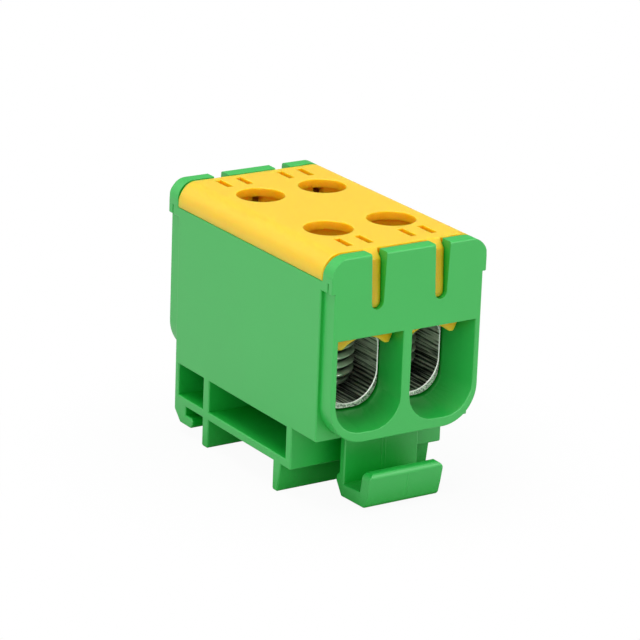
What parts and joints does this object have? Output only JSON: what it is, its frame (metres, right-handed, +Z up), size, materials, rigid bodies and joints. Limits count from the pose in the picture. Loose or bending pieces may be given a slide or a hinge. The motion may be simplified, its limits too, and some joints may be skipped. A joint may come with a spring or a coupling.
{
  "type": "feed-through terminal block",
  "caption": "Rail-mounted feed-through terminal block with a green housing, a yellow screwed-access cover, tube clamps and a spring latch foot.",
  "frame": {"origin": "middle of the flat underside that rests on the mounting rail", "axes": "+Z up, away from the rail; +Y along the wires towards the end with the fixed hook; +X across the poles, to the right as seen from the latch end"},
  "size_m": [0.029, 0.0511, 0.0427],
  "materials": {
    "housing_plastic": "moulded, satin sheen",
    "cover_plastic": "moulded, satin sheen",
    "clamp_metal": "tinned extrusion, sawn ends",
    "screw_steel": "zinc plated"
  },
  "bodies": {
    "block": {"housing": "housing_plastic", "cover": "cover_plastic", "clamp_left": "clamp_metal", "clamp_right": "clamp_metal"},
    "front_left_screw": {"screw_front_left": "screw_steel"},
    "front_right_screw": {"screw_front_right": "screw_steel"},
    "rear_left_screw": {"screw_rear_left": "screw_steel"},
    "rear_right_screw": {"screw_rear_right": "screw_steel"}
  },
  "joints": [
    {"name": "screw_front_left_travel", "type": "slide", "parent": "block", "child": "front_left_screw", "axis": [0, 0, 1], "range_m": [0, 0.0088]},
    {"name": "screw_front_right_travel", "type": "slide", "parent": "block", "child": "front_right_screw", "axis": [0, 0, 1], "range_m": [0, 0.0088]},
    {"name": "screw_rear_left_travel", "type": "slide", "parent": "block", "child": "rear_left_screw", "axis": [0, 0, 1], "range_m": [0, 0.0088]},
    {"name": "screw_rear_right_travel", "type": "slide", "parent": "block", "child": "rear_right_screw", "axis": [0, 0, 1], "range_m": [0, 0.0088]}
  ]
}
